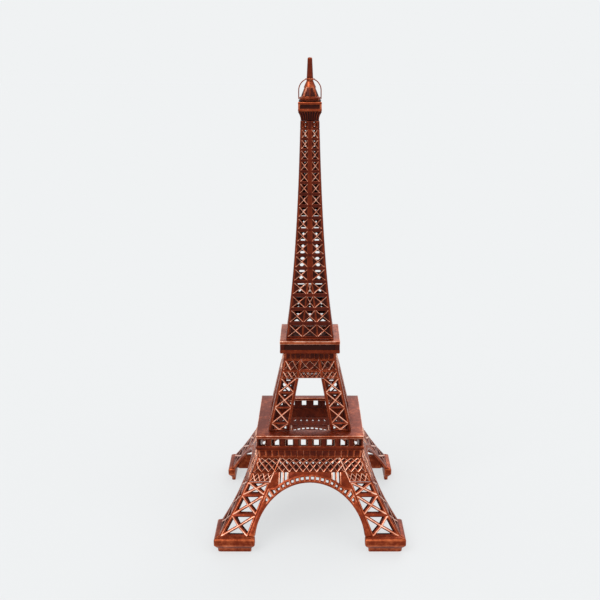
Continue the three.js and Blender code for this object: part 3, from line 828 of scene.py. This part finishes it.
def girder():
    """The girder under the gallery: a diagonal lattice with a row of small holes."""
    count = 7
    middle = mix(girder_top, girder_bottom, 0.4)
    border = 0.4
    rows = (girder_bottom, girder_bottom + border, middle, girder_top - border, girder_top)

    def place(i, j):
        z = rows[j]
        k = i - count - 2
        size = abs(k)
        u = size * dot_pitch
        if size > count:
            u = lower_half(z) - (CORNER_BAR, MITRE)[size - count - 1]
        return (math.copysign(u, k), 0, z)

    def fill(i, j):
        return MESHED if 0 < i < 2 * count + 3 and j in (1, 2) else BAR

    def dots(u, z):
        return abs(z - middle) < 0.3 and u < count * dot_pitch

    style = {**LEG, "bar": 0.9, "sink": 0.6, "crest": 0.35, "dots": dots, "dot": 0.4}
    return sheet("girder", 2 * count + 4, 4, place, fill, style)


def strip(name, ends, width, lift):
    """A narrow raised bar between two points of a sheet."""
    edge = lift - 0.4

    def place(i, j):
        u, z = ends[j]
        return (u + (-width / 2, 0, width / 2)[i], (edge, lift, edge)[i], z)

    return sheet(name, 2, 1, place, lambda i, j: BAR, {**LEG, "flat": 0.8, "crest": 0})


def chord_rib():
    """The leg's inner chord, carried on over the girder."""
    ends = [(leg_inner(z), z) for z in (leg_band, girder_top - 0.1)]
    return strip("chord_rib", ends, width=0.9, lift=0.75)


def arch_back(u):
    """The height of the arch's back, at a distance from the middle of a side."""
    return arch_centre + arch_band + math.sqrt(arch_radius**2 - u**2)


def struts():
    """Short struts in the spandrel, between the arch and the girder."""
    pieces = []
    for foot, head in ((15.2, 15.2), (18.2, 18.2), (last_strut + 0.2, last_strut)):
        ends = [(foot, arch_back(foot) - 0.8), (head, girder_bottom + 0.2)]
        pieces.append(strip("strut", ends, width=1.1, lift=0.1))
    return pieces


def shoulder_web():
    """The solid web between the last strut and the leg's chord."""
    lowest = 38
    steps = 6
    chord_lap = 0.4
    back = arch_centre + arch_band

    def place(i, j):
        z = mix(lowest, girder_bottom, j / steps)
        reach = math.sqrt(max(arch_radius**2 - (z - back) ** 2, 0))
        return ((max(last_strut, reach - web_lap), leg_inner(z) - chord_lap)[i], 0, z)

    return sheet("shoulder_web", 1, steps, place, lambda i, j: BAR, {**LEG, "crest": 0})


def crown_web():
    """The solid web between the arch's crown and the girder."""
    steps = 8

    def place(i, j):
        u = mix(-spandrel_start, spandrel_start, i / steps)
        return (u, 0, (arch_back(u) - web_lap, girder_bottom)[j])

    style = {**LEG, "flat": 0.4, "rung": 0.4, "crest": 0}
    return sheet("crown_web", steps, 1, place, lambda i, j: BAR, style)


def arch():
    """The arch: two raised rims with square holes between them, running down into the feet."""
    step = arch_hole_pitch / (arch_radius + arch_band / 2)
    webs = 7
    widens_at = 34  # degrees from the crown, where the band opens out towards the leg
    widens_over = 5
    widest = 7
    end = math.acos((foot_top - foot_tuck - arch_centre) / arch_radius)
    web_step = (end - arch_holes / 2 * step) / webs
    slope = leg_inner(arch_centre) - leg_inner(arch_centre + 1)
    total = arch_holes + 2 * webs

    def place(i, j):
        k = i - total / 2
        holes = min(abs(k), arch_holes / 2)
        t = math.copysign(holes * step + (abs(k) - holes) * web_step, k)
        sine, cosine = abs(math.sin(t)), math.cos(t)
        rim = arch_band * cosine + math.sqrt(arch_radius**2 - (arch_band * sine) ** 2)
        chord = leg_inner(arch_centre) / (sine + slope * cosine)
        share = min(max((math.degrees(abs(t)) - widens_at) / widens_over, 0), 1)
        outer = mix(rim, min(chord, rim + widest), share)
        edge = min(1.05, (outer - arch_radius) * 0.3)
        r = (arch_radius, arch_radius + edge, outer - edge, outer)[j]
        return (r * math.sin(t), 0, arch_centre + r * cosine)

    def fill(i, j):
        return WINDOW if j == 1 and webs <= i < webs + arch_holes else BAR

    style = {**LEG, "rim": 0.78, "crest": 0.35, "flat": 0.5, "rung": 0.5, "valley": 0.3}
    return sheet("arch", total, 3, place, fill, style)


def ribbed_band(name, bottom, top, half, bays, style, margin):
    """A band of upright sunk bays between thin ribs."""
    border = 0.45
    rows = (bottom, bottom + border, top - border, top)

    def place(i, j):
        outer = half(rows[j])
        if i in (0, bays + 2):
            return (math.copysign(outer - MITRE, i - 1), 0, rows[j])
        return (mix(-1, 1, (i - 1) / bays) * (outer - margin), 0, rows[j])

    def fill(i, j):
        return SUNK if 0 < i <= bays and j == 1 else BAR

    return sheet(name, bays + 2, 3, place, fill, style)


def foot_bar():
    """The thick bar under a leg on its chamfered plinth, mitred at the tower's corner."""
    end = foot_half - foot_length
    inner = foot_half - foot_thickness
    lowest = (end, -foot_half, foot_band_bottom)
    bar = block("foot_bar", lowest, (foot_half, -inner, foot_band_top), rub=0.5)

    def corner(edge):
        a, b = (bar.data.vertices[k].co for k in edge.vertices)
        return min(a.x, b.x) > (foot_half - 1) * MM and min(a.y, b.y) > -(inner + 1) * MM

    pick(bar, edges=corner)
    bpy.ops.transform.translate(value=(-foot_thickness * MM, 0, 0))
    done()

    def taper(amount):
        along = (foot_length - 2 * amount) / foot_length
        return (along, (foot_thickness - amount) / foot_thickness)

    def centre(z):
        return ((foot_half + end) / 2, -inner, z)

    pick(bar, faces=lambda face: face.normal.z < -0.9)
    draw_out(plinth_top - foot_band_bottom, taper(plinth_inset), centre(plinth_top))
    draw_out(-plinth_top, (1, 1), centre(0))
    done()
    pick(bar, faces=lambda face: face.normal.z > 0.9)
    draw_out(foot_top - foot_band_top, taper(2 * foot_slope), centre(foot_top))
    done()
    soften(bar, 0.8, segments=3, brightened=0.8)
    return bar


def lower_panel():
    """One side of the lower storey: two legs on their feet, the arch, the girder and the frieze."""
    flat = (leg(), leg_head(), chord_rib(), shoulder_web(), *struts())
    half = [bend(piece, lower_half) for piece in flat]
    frieze_style = {**LEG, "rim": 0.16, "sink": 0.7, "crest": 0.1, "valley": 0.5, "floor": 0.3}
    frieze = ribbed_band(
        "frieze", girder_top, lower_top, lower_half, bays=16, style=frieze_style, margin=1.0
    )
    full = [bend(piece, lower_half) for piece in (arch(), crown_web(), girder(), frieze)]
    legs = join("legs", half)
    soften(legs, 0.12)
    screen = join("screen", full)
    soften(screen, 0.1)
    return join("lower_panel", [mirrored(join("leg_half", [legs, foot_bar()])), screen])


# ---- Gallery and first platform ----

def gallery_wall():
    """A side of the gallery: windows between grooved pillars over a moulded sill."""
    pillars = (gallery_windows - 1) * gallery_pillar
    opening = (2 * (gallery_half - gallery_post) - pillars) / gallery_windows
    groove = 0.9
    moulding = 2.3
    proud = 0.5
    lines = [-gallery_half + MITRE]
    u = -gallery_half + gallery_post
    for window in range(gallery_windows):
        lines += [u, u + opening]
        if window < gallery_windows - 1:
            lines += [u + opening + groove, u + opening + gallery_pillar - groove]
        u += opening + gallery_pillar
    lines.append(gallery_half - MITRE)
    rows = (gallery_bottom + moulding, gallery_sill, gallery_head, gallery_head + 0.4)

    def place(i, j):
        return (lines[i], 0, rows[j])

    def fill(i, j):
        if j != 1 or i in (0, len(lines) - 2):
            return BAR
        return (WINDOW, SUNK, BAR, SUNK)[(i - 1) % 4]

    style = {**LEG, "rim": 0.06, "sink": 0.7, "crest": 0, "flat": 0.42, "valley": 0.1}
    wall = sheet("gallery_screen", len(lines) - 1, 3, place, fill, style)
    bend(wall, lambda z: gallery_half)
    soften(wall, 0.12, segments=2)

    def sill_place(i, j):
        u = mix(-1, 1, i / 4) * (gallery_half + proud - MITRE)
        return (u, proud, gallery_bottom + moulding * j)

    sill_style = {**style, "flat": 0.5, "thick": lower_thickness + proud}
    sill = sheet("sill", 4, 1, sill_place, lambda i, j: BAR, sill_style)
    bend(sill, lambda z: gallery_half)
    soften(sill, 0.4, segments=3)
    return join("gallery_wall", [wall, sill])


def first_platform():
    """The plate with its square well, which reaches further between the back middle legs."""
    reach = (well_bay_half, platform_well, well_bay_reach, platform_half)
    lines = [-u for u in reversed(reach)] + list(reach)

    def open_bay(x, y):
        in_well = max(abs(x), abs(y)) < platform_well
        return in_well or (abs(x) < well_bay_half and 0 < y < well_bay_reach)

    plate = pierced_plate("first_platform", lines, open_bay, platform_bottom, platform_top, rub=0.4)
    soften(plate, 0.35, segments=3, brightened=1.0)
    return plate


# ---- Middle panels ----

MID = {
    **LEG, "bar": 1.3, "rim": 0.35, "crest": 0.4, "thick": mid_thickness,
    "chord": 0.6, "flat": 0.42, "rung": 0.42,
}
mid_chord_back = 0.5
mid_chord_front = 0.9


def mid_leg():
    """A middle leg: half a crossed bay and three whole ones between its chords."""
    half_rung = 0.15
    corner_bar = 1.3
    rows = [mid_bottom]
    level = mid_bottom
    for height in mid_cells:
        level += height
        rows += [level - half_rung, level + half_rung]
    rows[-1] = mid_band

    def place(i, j):
        z = rows[j]
        inner = mid_inner(z)
        outer = mid_half(z)
        chord = (inner - mid_chord_back, inner + mid_chord_front)
        return ((*chord, outer - corner_bar, outer - MITRE)[i], 0, z)

    def fill(i, j):
        if i == 1 and j % 2 == 0:
            return HALF_CROSS if j == 0 else CROSS
        return BAR

    return sheet("mid_leg", 3, len(rows) - 1, place, fill, MID)


def mid_lattice(name, bottom, top, inner_cells, side_cells, style):
    """A band of diagonals across a middle panel, parted by the chords of its legs."""
    border = 0.55
    corner_bar = 1.2
    rows = (bottom, bottom + border, top - border, top)
    half_count = side_cells + 2

    def place(i, j):
        z = rows[j]
        inner = mid_inner(z)
        outer = mid_half(z)
        first = inner + mid_chord_front
        last = outer - corner_bar
        right = [mix(first, last, k / side_cells) for k in range(side_cells + 1)]
        right.append(outer - MITRE)
        reach = inner - mid_chord_back
        centre = [mix(-1, 1, k / inner_cells) * reach for k in range(inner_cells + 1)]
        lines = [-u for u in reversed(right)] + centre + right
        return (lines[i], 0, z)

    total = 2 * half_count + inner_cells

    def fill(i, j):
        chord = i in (0, half_count - 1, half_count + inner_cells, total - 1)
        return MESHED if j == 1 and not chord else BAR

    return sheet(name, total, 3, place, fill, style)


def middle_panel():
    """One side of the middle storey: two legs, two lattice bands and a frieze."""
    half = bend(mid_leg(), mid_half)
    soften(half, 0.1)
    middle = (mid_band + mid_upper_band) / 2

    def dots(u, z):
        return abs(z - middle) < 0.4 and u < mid_half(z) - 3

    lower = {**MID, "bar": 0.6, "sink": 0.6, "crest": 0.25, "floor": 0.1, "dots": dots, "dot": 0.5}
    upper = {**MID, "bar": 0.65, "sink": 0.9, "crest": 0.25, "floor": 0.1}
    frieze = {**MID, "rim": 0.14, "sink": 0.8, "crest": 0.1, "valley": 0.4, "floor": 0.15}
    bands = [
        mid_lattice("lower_band", mid_band, mid_upper_band, 5, side_cells=3, style=lower),
        mid_lattice("upper_band", mid_upper_band, mid_frieze, 2, side_cells=2, style=upper),
        ribbed_band("mid_frieze", mid_frieze, mid_top, mid_half, bays=10, style=frieze, margin=0.8),
    ]
    screen = join("mid_screen", [bend(piece, mid_half) for piece in bands])
    soften(screen, 0.08)
    return join("middle_panel", [mirrored(half), screen])


# ---- Second floor ----

def second_floor_box():
    """A moulding under a recessed wall, painted dark as patina and painted shade, with a pilaster
    at each corner.
    """
    recess = second_half - 0.7
    moulding_top = second_bottom + 2.4
    pilaster = 3
    inset = 0.1
    top = tray_bottom - GAP
    body = tier("second_floor_box", "square", [
        (second_half - 0.5, second_bottom),
        (second_half, second_bottom + 0.6),
        (second_half, moulding_top),
        (recess, moulding_top),
        (recess, top),
    ], rub=0.55)

    def in_wall(face):
        return face.center.z > (moulding_top + 0.1) * MM and abs(face.normal.z) < 0.5

    # The recessed wall is painted to the lowest level: patina and painted shade.
    paint_faces_wear_and_light(body, in_wall, 0)
    soften(body, 0.15, segments=2)
    post = block(
        "post", (second_half - pilaster, -second_half + inset, second_bottom + 1.2),
        (second_half - inset, -second_half + pilaster, top), rub=0.3,
    )
    soften(post, 0.15, segments=2)
    return join("second_floor_box", [body] + all_round(post))


def second_floor_tray():
    """The lipped plate that carries the spire."""
    edge = second_half + tray_proud
    lines = (-edge, -tray_well, tray_well, edge)

    def open_bay(x, y):
        return max(abs(x), abs(y)) < tray_well

    plate = pierced_plate("second_floor_tray", lines, open_bay, tray_bottom, tray_top, rub=0.5)
    soften(plate, 0.3, segments=3, brightened=1.0)
    return plate


# ---- Spire ----

def spire_levels():
    """The heights of the spire's rows, each a little lower than the one beneath, then its neck."""
    levels = [spire_bottom + spire_foot]
    span = spire_top - levels[0] - spire_neck
    first = span * (1 - spire_row_ratio) / (1 - spire_row_ratio**spire_rows)
    for row in range(spire_rows):
        levels.append(levels[-1] + first * spire_row_ratio**row)
    return levels + [spire_top]


def strip_band(name, bottom, top):
    """The plain band along the spire's foot."""
    def place(i, j):
        z = (bottom, top)[j]
        return (mix(-1, 1, i / 4) * (spire_half(z) - spire_mitre), 0, z)

    return sheet(name, 4, 1, place, lambda i, j: BAR, {**LEG, "crest": 0, "thick": spire_thickness})


def spire_lattice(name, levels, bar_share, style):
    """Rows of crossed ribs either side of a strip that opens out near the spire's foot."""
    rows = [levels[0]]
    for bottom, top in zip(levels, levels[1:]):
        bar = (top - bottom) * bar_share
        rows += [bottom + bar, top - bar]
    rows.append(levels[-1])
    all_levels = spire_levels()
    wide_top = all_levels[spire_wide_rows]
    narrow_strip, wide_strip = 0.1, 0.32  # as shares of a side's half-width
    rib_width = 0.55

    def place(i, j):
        z = rows[j]
        outer = spire_half(z)
        edge = outer - CORNER_BAR
        open_up = min(max((wide_top - z) / (wide_top - all_levels[1]), 0), 1)
        strip = mix(narrow_strip * outer, wide_strip * edge, open_up)
        rib = strip + rib_width
        right = (strip, rib, edge, outer - spire_mitre)
        return ((*(-u for u in reversed(right)), *right)[i], 0, z)

    def fill(i, j):
        if j % 2 == 0 or i % 2 == 0:
            return BAR
        return CROSS if i != 3 or rows[j] < wide_top else BAR

    return bend(sheet(name, 7, len(rows) - 1, place, fill, style), spire_half)


def spire():
    """One side of the spire: its lattice, its neck, painted darker as shade under the cornice, and
    its plain foot.
    """
    levels = spire_levels()
    style = {
        **LEG, "bar": 0.8, "rim": 0.4, "sink": 0.4, "crest": 0.35, "thick": spire_thickness,
        "shut": True, "chord": 0.42, "flat": 0.38, "rung": 0.18, "valley": 0.05, "floor": 0.05,
        "back": 0.2,
    }
    lattice = spire_lattice("spire_lattice", levels[:-1], 0.1, style)
    # The neck is painted darker: painted shade under the cornice.
    shaded_style = {**style, "ridge": 0.5, "flat": 0.2, "back": 0.1}
    neck = spire_lattice("neck", levels[-2:], 0.06, shaded_style)
    foot = bend(strip_band("spire_foot", spire_bottom, levels[0]), spire_half)
    panel = join("spire_panel", [lattice, neck, foot])
    soften(panel, 0.06)
    return panel


# ---- Lantern ----

def cornice():
    """The spire's flared and finely ribbed head."""
    flare = cabin_half - spire_top_half
    height = cornice_top - cornice_bottom

    def outline(z):
        return spire_top_half + flare * ((z - cornice_bottom) / height) ** 2

    core = 0.45  # how far the core lies inside the ribs
    half_rib = 0.22
    steps = 4
    rises = [cornice_bottom + height * k / steps for k in range(steps + 1)]
    # The core between the ribs is painted near the lowest level: patina and painted shade.
    body = tier("spire_cornice", "square", [(outline(z) - core, z) for z in rises], rub=0.05)
    soften(body, 0.12, segments=2)

    def place(i, j):
        rib, edge = divmod(i, 2)
        middle = mix(-1, 1, rib / (cornice_ribs - 1)) * (outline(rises[j]) - core)
        return (middle + (half_rib if edge else -half_rib), 0, rises[j])

    def fill(i, j):
        return GONE if i % 2 else BAR

    style = {**LEG, "crest": 0, "flat": 0.4, "thick": 1.0}
    ribs = bend(sheet("ribs", 2 * cornice_ribs - 1, steps, place, fill, style), outline)
    soften(ribs, 0.08)
    return join("spire_cornice", [body] + all_round(ribs))


def cabin():
    """A recess between two mouldings, painted dark as patina and painted shade, with a post at each
    corner.
    """
    recess = cabin_half - 0.6
    lip = cabin_half - 0.3
    round_over = 0.4
    moulding = 1.5
    post_width = 1.3
    inset = 0.1
    body = tier("cabin", "square", [
        (lip, cabin_bottom),
        (cabin_half, cabin_bottom + round_over),
        (cabin_half, cabin_bottom + moulding),
        (recess, cabin_bottom + moulding),
        (recess, cabin_top - moulding),
        (cabin_half, cabin_top - moulding),
        (cabin_half, cabin_top - round_over),
        (lip, cabin_top),
    ], rub=0.45)
    middle = (cabin_bottom + cabin_top) / 2
    # The recessed middle band is painted to the lowest level: patina and painted shade.
    paint_faces_wear_and_light(body, lambda face: abs(face.center.z / MM - middle) < 1, 0)
    soften(body, 0.15, segments=2)
    # The corner posts are painted lighter, as painted highlights.
    post = block(
        "cabin_post", (cabin_half - post_width, -cabin_half + inset, cabin_bottom + 1),
        (cabin_half - inset, -cabin_half + post_width, cabin_top - 1), rub=0.6,
    )
    soften(post, 0.12, segments=2)
    return join("cabin", [body] + all_round(post))


def drum():
    """A round drum with a groove between two rims."""
    radius = cabin_half - 0.35
    groove = 0.7
    round_over = 0.4
    rim = 0.9
    body = tier("lantern_drum", 48, [
        (radius - round_over, cabin_top),
        (radius, drum_bottom + round_over),
        (radius, drum_bottom + rim),
        (radius - groove, drum_bottom + drum_height / 2),
        (radius, drum_top - rim),
        (radius, drum_top - round_over),
        (radius - round_over, drum_top),
    ], rub=0.38)
    # The lower rim, in the crease over the cabin, is painted to the lowest level: patina and
    # painted shade.
    paint_faces_wear_and_light(body, lambda face: face.center.z < (drum_bottom + 1) * MM, 0)
    soften(body, 0.12, segments=2)
    return body


def bell():
    """The lantern's bell: a dome with a shallow arched recess on each side, painted dark as the
    shade inside an opening.
    """
    radius = cabin_half - 1.35
    height = bell_top - bell_bottom
    steps = 12
    levels = [(radius, drum_top)]
    for step in range(steps + 1):
        share = step / steps
        levels.append((mix(radius, mast_base, share**bell_swell), bell_bottom + height * share))
    body = tier("lantern_bell", 64, levels, rub=0.42)

    def opening(face):
        turn = math.degrees(math.atan2(face.center.y, face.center.x)) % 90
        rise = (face.center.z / MM - bell_bottom) / height
        if abs(face.normal.z) > 0.9 or not 0.02 < rise < 0.55:
            return False
        return min(turn, 90 - turn) < 40 - 30 * rise**2

    pick(body, faces=opening)
    bpy.ops.mesh.inset(thickness=0.2 * MM, depth=-0.5 * MM)
    done()
    # The arched recesses are painted to the lowest level: painted shade for the inside of an
    # opening.
    paint_faces_wear_and_light(body, lambda face: face.select, 0)
    soften(body, 0.1, segments=2, angle=50)
    return body


def hoop():
    """One tall thin hoop that springs from the drum's rim, over the bell."""
    seat = drum_top - 1.2
    reach = cabin_half - 0.1
    meeting = mast_bottom + GAP + collar_height / 2 - hoop_shoulder
    height = meeting / math.sqrt(1 - (collar_radius / reach) ** 2)
    steps = 28

    def place(i, j):
        width = reach - hoop_width * (1 - j)
        rise = height - hoop_width * (1 - j)
        if i in (0, steps + 2):
            return (math.copysign(width, i - 1), 0, seat)
        angle = math.pi * (1 - (i - 1) / steps)
        return (width * math.cos(angle), 0, hoop_shoulder + rise * math.sin(angle))

    style = {**LEG, "crest": 0, "flat": 0.35, "thick": hoop_width}
    band = sheet("hoop", steps + 2, 1, place, lambda i, j: BAR, style)
    for vertex in band.data.vertices:
        vertex.co.y -= hoop_width / 2 * MM
    soften(band, 0.15, segments=2)
    return band


def hoops():
    """Two hoops that cross in a collar round the mast's foot."""
    first = hoop()
    bottom = mast_bottom + GAP
    levels = [(collar_radius, bottom), (collar_radius, bottom + collar_height)]
    collar = tier("collar", 32, levels, rub=0.4)
    soften(collar, 0.25, segments=2)
    return join("lantern_hoops", [first, turned(first, math.pi / 2), collar])


def mast():
    """The short blunt mast, slightly drawn in."""
    body = tier("mast", 32, [
        (mast_base, bell_top),
        (mix(mast_base, mast_tip, 0.35), mix(mast_bottom, mast_top, 0.3)),
        (mast_tip, mast_top - 0.5),
        (mast_tip - 0.4, mast_top),
    ], rub=0.35)
    soften(body, 0.2, segments=3)
    return body


# ---- The tower ----

add_camera()
add_studio()
# Three copies of one copper: the shaded copy paints shade on the walls under the platforms and the
# cabin, the lit copy paints light on the upward plates and the bell.
antique = copper("antique_copper", 0.0)
dark = copper("dark_copper", -0.14)
brightened = copper("rubbed_copper", 0.08)

four_sides(lower_panel(), "lower_panel", antique)
four_sides(gallery_wall(), "gallery_wall", dark)
stand_for(first_platform(), "first_platform", brightened)
four_sides(middle_panel(), "middle_panel", antique)
stand_for(second_floor_box(), "second_floor_box", dark)
stand_for(second_floor_tray(), "second_floor_tray", brightened)
four_sides(spire(), "spire_panel", antique)
stand_for(cornice(), "spire_cornice", dark)
stand_for(cabin(), "cabin", antique)
stand_for(drum(), "lantern_drum", antique)
stand_for(bell(), "lantern_bell", brightened)
stand_for(hoops(), "lantern_hoops", antique)
stand_for(mast(), "mast", antique)
